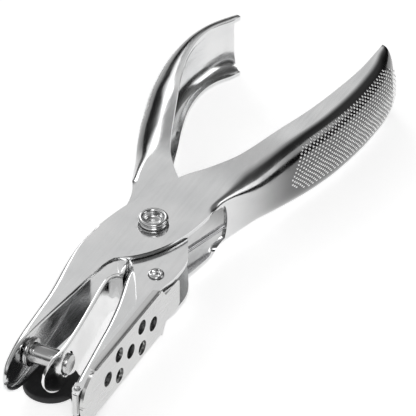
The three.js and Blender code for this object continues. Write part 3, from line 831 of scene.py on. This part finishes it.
def coil_point(t):
    angle = COIL_START + 2 * math.pi * COIL_TURNS * t
    rise = COIL_PITCH * COIL_TURNS
    return Vector((COIL_RADIUS * math.cos(angle), COIL_RADIUS * math.sin(angle), rise * (t - 0.5)))


def return_spring(material):
    """Coil with the lower lever's arm, and the upper lever's arm as a separate piece."""
    low, high = -COIL_PITCH * COIL_TURNS / 2, COIL_PITCH * COIL_TURNS / 2
    coil = [coil_point(t) for t in spread(0, 1, 150)]
    tip = Vector((*LOWER_ARM_TIP, high))
    arm = [coil[-1].lerp(tip, t) for t in spread(0.04, 1, 16)]
    body = sweep("return_spring_coil", coil + arm, WIRE / 2, material)
    start, end = coil_point(0), Vector((*UPPER_ARM_TIP, low))
    back = coil_point(0.01)
    path = [back.lerp(start, 0.5), start] + [start.lerp(end, t) for t in spread(0.04, 1, 24)]
    other = sweep("return_spring_arm", path, WIRE / 2 - 0.01, material)
    return body, other, start, end


# ------------------------------------------------------------------ catcher lid

def lid_half(x):
    """Half width of the lid: round front, straight sides, narrow tab at the rear."""
    if x < LID_FRONT + LID_CORNER:
        d = LID_FRONT + LID_CORNER - x
        return LID_HALF - LID_CORNER + math.sqrt(max(LID_CORNER ** 2 - d * d, 0.0))
    shoulder = min(max((x - TAB_START) / (TAB_ROOT - TAB_START), 0.0), 1.0)
    if x < TAB_CHAMFER:
        return mix(LID_HALF, TAB_HALF, shoulder)
    return mix(TAB_HALF, TAB_TIP, (x - TAB_CHAMFER) / (LID_REAR - TAB_CHAMFER))


def catcher_lid(material):
    xs = [LID_FRONT + LID_CORNER * (1 - math.cos(math.pi / 2 * i / 12)) for i in range(12)]
    xs += [LIP_START - 0.25, LIP_START, LIP_START + 0.3] + spread(LIP_START + 0.7, LIP_END - 0.7, 34)
    xs += [LIP_END - 0.3, LIP_END] + spread(TAB_START, TAB_ROOT, 3)
    xs += spread(-18.4, TAB_CHAMFER, 6) + [-12.8, LID_REAR]
    columns, arc_steps, lip_steps = 18, 5, 2
    rows = []
    for x in xs:
        half = lid_half(x)
        lift = min(smooth(x, LIP_START - 0.6, LIP_START + 0.3),
                   1 - smooth(x, LIP_END - 0.3, LIP_END + 0.5))
        side = []
        for i in range(arc_steps + 1):
            a = math.pi / 2 * i / arc_steps
            z = half - LID_BEND * (1 - math.sin(a))
            y = LID_OUT + LID_BEND * (1 - math.cos(a)) * lift
            side.append((y, z))
        for i in range(1, lip_steps + 1):
            rise = (LIP_HEIGHT - LID_BEND) * lift * i / lip_steps
            side.append((side[arc_steps][0] + rise, half + 0.002 * i))
        flat = [(LID_OUT, z) for z in spread(-(half - LID_BEND), half - LID_BEND, columns)][1:-1]
        row = [(y, -z) for y, z in reversed(side)] + flat + side
        rows.append([(x, y, z) for y, z in row])
    width = len(rows[0])
    faces = [(i * width + k, i * width + k + 1, (i + 1) * width + k + 1, (i + 1) * width + k)
             for i in range(len(rows) - 1) for k in range(width - 1)]
    thing = make_object("catcher_lid_tray", [p for row in rows for p in row], faces, material)
    outwards = sum(face.normal.y * face.area for face in thing.data.polygons)
    places = [(i, 0) for i in (-1, 0, 1)]
    places += [(i, row) for i in (-0.5, 0.5) for row in (-HOLE_ROW, HOLE_ROW)]
    holes = [cutter(f"lid_cut_{n}", (HOLE_MIDDLE + i * HOLE_PITCH, LID_OUT, z), LID_HOLE, 6, "Y", sides=48)
             for n, (i, z) in enumerate(places)]
    return finish_sheet(thing, LID_SHEET, holes, 0.14, inward=outwards < 0)


def lid_curl(material):
    """Rolled barrel of the lid round its hinge pin, with the tongue that joins it to the lid."""
    tongue = [(0.3, -12.45), (1.7, -12.45), (1.7, -11.85), (0.8, -11.7)]
    outline = round_points(HINGE_X, HINGE_Y, CURL_OUT, 200, -110, 26)
    outline += [(HINGE_X + x, y) for x, y in tongue]
    outline += round_points(HINGE_X, HINGE_Y, CURL_IN, -75, 200, 22)
    return plate("catcher_lid_curl", outline, -CURL_HALF, CURL_HALF, material, 0.1)


def hinge_pin(material):
    end, flat, edge = FRAME_HALF + 0.3, 0.45, 0.25
    profile = [(0, -end - 0.02)] + round_points(flat, -end + edge, edge, -90, 0, 4)
    profile += round_points(flat, end - edge, edge, 0, 90, 4) + [(0, end + 0.02)]
    return lathe("catcher_hinge_rod", profile, material, (HINGE_X, HINGE_Y, 0), sides=32)


def jaw_rivet(material):
    """Flat-headed rivet whose ends are staked with three lobes."""
    face = LOWER_HALF + 0.08
    head, shank, height = RIVET_HEAD, RIVET_SHANK, RIVET_HEIGHT
    points, faces = [], []
    rings, sides = 14, 60

    def crown(r, a):
        edge = height * math.sqrt(max(1 - (r / head) ** 6, 0.0))
        lobe = 0.5 + 0.5 * math.cos(3 * a + 0.6)
        dent = smooth(1.45 * (0.55 + 0.45 * lobe) - r, -0.12, 0.22)
        return edge - 0.36 * dent * (0.35 + 0.65 * smooth(r, 0.1, 0.5))
    for sign in (1, -1):
        base = len(points)
        for ring in range(rings + 1):
            r = head * math.sin(math.pi / 2 * ring / rings)
            for k in range(sides):
                a = 2 * math.pi * k / sides
                points.append((RIVET_X + r * math.cos(a), RIVET_Y + r * math.sin(a),
                               sign * (face + crown(r, a))))
        for k in range(sides):
            a = 2 * math.pi * k / sides
            points.append((RIVET_X + shank * math.cos(a), RIVET_Y + shank * math.sin(a), sign * face))
        for ring in range(rings + 1):
            for k in range(sides):
                m = (k + 1) % sides
                i, j = base + ring * sides, base + (ring + 1) * sides
                faces.append((i + k, i + m, j + m, j + k))
    half = len(points) // 2
    for k in range(sides):
        m = (k + 1) % sides
        faces.append((half - sides + k, half - sides + m, 2 * half - sides + m, 2 * half - sides + k))
    thing = make_object("jaw_rivet_head", points, faces, material)
    face_outwards(thing.data)
    shade_edges(thing.data, 45)
    return thing


# ------------------------------------------------------------------ paper stop

def paper_stop(material):
    outline = round_points(STOP_X, STOP_Y, STOP_RADIUS, -45, 250, 60) + STOP_TONGUE
    return plate("paper_stop_plate", outline, -GRIP_HALF, STOP_TOP, material, 0.35)


def stop_boss(material):
    return plate("paper_stop_boss", STOP_BOSS, STOP_TOP - 0.2, -FRAME_HALF - 0.1, material, 0.2)


def stop_rivet(material):
    low, high, shank = -GRIP_HALF + 0.02, -FRAME_HALF - 0.2, STOP_RIVET_SHANK
    profile = [(0, low), (0.9, low), (0.95, low + 0.1), (shank, low + 0.5), (shank, high), (0, high)]
    return lathe("stop_rivet_head", profile, material, (STOP_RIVET_X, STOP_RIVET_Y, 0), sides=32)


# ------------------------------------------------------------------ build

def build(materials):
    nickel, satin = materials["nickel"], materials["satin"]

    def add(thing, body, node):
        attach(thing, body)
        if node:
            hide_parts(node)

    # The levers are marked where painted shade darkens the backs of their grips.
    add(mark_painted_grip_shade(upper_lever(materials["lever"]), -1, 14, 38), PUNCH_BODY, "upper_lever")
    add(mark_painted_grip_shade(lower_lever(materials["lever"]), 1, 12, 30), DIE_BODY, "lower_lever")
    add(upper_dots(materials["dots"]), PUNCH_BODY, None)
    add(lower_dots(materials["dots"]), DIE_BODY, None)
    add(die_frame(nickel), DIE_BODY, "die_frame")
    add(die_bush(satin), DIE_BODY, "die_bush")
    add(stripper_leaf(materials["leaf"]), DIE_BODY, "stripper_leaf")
    add(leaf_rivet(nickel), DIE_BODY, "leaf_rivet")
    add(punch_pin(satin), PUNCH_BODY, "punch_pin")
    add(pin_collar(satin), PUNCH_BODY, "pin_collar")
    add(pivot_eyelet(nickel), DIE_BODY, "pivot_eyelet")
    for sign in (1, -1):
        add(eyelet_flange(nickel, sign), DIE_BODY, None)
    add(pivot_sleeve(satin), DIE_BODY, "pivot_sleeve")
    coil, arm, start, end = return_spring(materials["wire"])
    add(coil, DIE_BODY, "return_spring")
    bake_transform(arm)
    add(catcher_lid(materials["lid"]), LID_BODY, "catcher_lid")
    add(lid_curl(materials["lid"]), LID_BODY, None)
    add(hinge_pin(satin), DIE_BODY, "catcher_hinge_pin")
    add(jaw_rivet(nickel), DIE_BODY, "jaw_rivet")
    add(paper_stop(materials["blued"]), DIE_BODY, "paper_stop")
    add(stop_boss(materials["blued"]), DIE_BODY, None)
    add(stop_rivet(satin), DIE_BODY, "stop_rivet")


# ------------------------------------------------------------------ stage, light and camera

AZIMUTH, ELEVATION = -63.0, 38.0
VIEW_WIDTH = 0.0957
LENS, SENSOR = 400.0, 36.0
AIM_RIGHT, AIM_UP = 0.01258, 0.00336
FLOOR_GLOW, FLOOR_SIZE, FLOOR_DROP = 0.62, 3.0, 0.00005
SKY_BANDS = [(0.0, 0.10), (0.02, 0.08), (0.20, 0.06), (0.42, 0.22), (0.56, 0.76), (0.68, 0.82),
             (0.80, 0.40), (1.0, 0.34)]
DARK_SIDE, DARK_START, DARK_FULL, DARK_LEVEL = (0.40, -0.92, 0.0), 0.02, 0.40, 0.24


def stage():
    bpy.ops.mesh.primitive_plane_add(size=FLOOR_SIZE, location=(0, 0, -FLOOR_DROP))
    floor = bpy.context.object
    floor.name = "floor"
    material, _, shader, _ = new_material("floor_paper")
    shader.inputs["Base Color"].default_value = (0.80, 0.80, 0.80, 1)
    shader.inputs["Roughness"].default_value = 1.0
    shader.inputs["Specular IOR Level"].default_value = 0.0
    shader.inputs["Emission Color"].default_value = (1, 1, 1, 1)
    shader.inputs["Emission Strength"].default_value = FLOOR_GLOW
    floor.data.materials.append(material)


def soft_box(name, location, size, power):
    """Rectangular light that faces the middle of the tool."""
    aim = Vector((0, 0, 0.01)) - Vector(location)
    light = bpy.data.lights.new(name, "AREA")
    light.shape = "RECTANGLE"
    light.size, light.size_y = size
    light.energy = power
    thing = bpy.data.objects.new(name, light)
    thing.location = location
    thing.rotation_euler = aim.to_track_quat("-Z", "Y").to_euler()
    bpy.context.scene.collection.objects.link(thing)


def sky():
    """Plain studio surround: dark low down, bright at middle height and darker to one side."""
    scene = bpy.context.scene
    surround = bpy.data.worlds.new("studio")
    scene.world = surround
    surround.use_nodes = True
    tree = surround.node_tree
    background = tree.nodes["Background"]
    coords = tree.nodes.new("ShaderNodeTexCoord")
    split = tree.nodes.new("ShaderNodeSeparateXYZ")
    tree.links.new(coords.outputs["Generated"], split.inputs["Vector"])
    bands = tree.nodes.new("ShaderNodeValToRGB")
    elements = bands.color_ramp.elements
    (_, lowest), *between, (_, highest) = SKY_BANDS
    elements[0].color = (lowest, lowest, lowest, 1)
    elements[1].color = (highest, highest, highest, 1)
    for place, level in between:
        elements.new(place).color = (level, level, level, 1)
    tree.links.new(split.outputs["Z"], bands.inputs["Fac"])
    side = tree.nodes.new("ShaderNodeVectorMath")
    side.operation = "DOT_PRODUCT"
    side.inputs[1].default_value = DARK_SIDE
    tree.links.new(coords.outputs["Generated"], side.inputs[0])
    shade = ramp(tree, side.outputs["Value"], 1.0, DARK_LEVEL, DARK_START, DARK_FULL, "SMOOTHSTEP")
    tree.links.new(scaled(tree, bands.outputs["Color"], shade), background.inputs["Color"])
    background.inputs["Strength"].default_value = 1.0
    scene.view_settings.view_transform = "Standard"


def lights():
    soft_box("key", (-0.55, -0.35, 0.75), (0.4, 0.4), 1.6)
    soft_box("fill", (0.35, -0.75, 0.45), (0.5, 0.3), 0.8)
    soft_box("back", (0.55, 0.65, 0.55), (0.3, 0.5), 1.2)


def camera():
    a, e = math.radians(AZIMUTH), math.radians(ELEVATION)
    back = Vector((math.sin(a) * math.cos(e), -math.cos(a) * math.cos(e), math.sin(e)))
    right = Vector((math.cos(a), math.sin(a), 0))
    up = back.cross(right)
    target = world(0, 0, UPPER_HALF) + right * AIM_RIGHT + up * AIM_UP
    lens = bpy.data.cameras.new("camera")
    lens.lens, lens.sensor_width = LENS, SENSOR
    lens.clip_end = 20
    thing = bpy.data.objects.new("camera", lens)
    thing.location = target + back * (VIEW_WIDTH * LENS / SENSOR)
    thing.rotation_mode = "QUATERNION"
    thing.rotation_quaternion = (-back).to_track_quat("-Z", "Y")
    bpy.context.scene.collection.objects.link(thing)
    bpy.context.scene.camera = thing


camera()
build(make_materials())
stage()
sky()
lights()
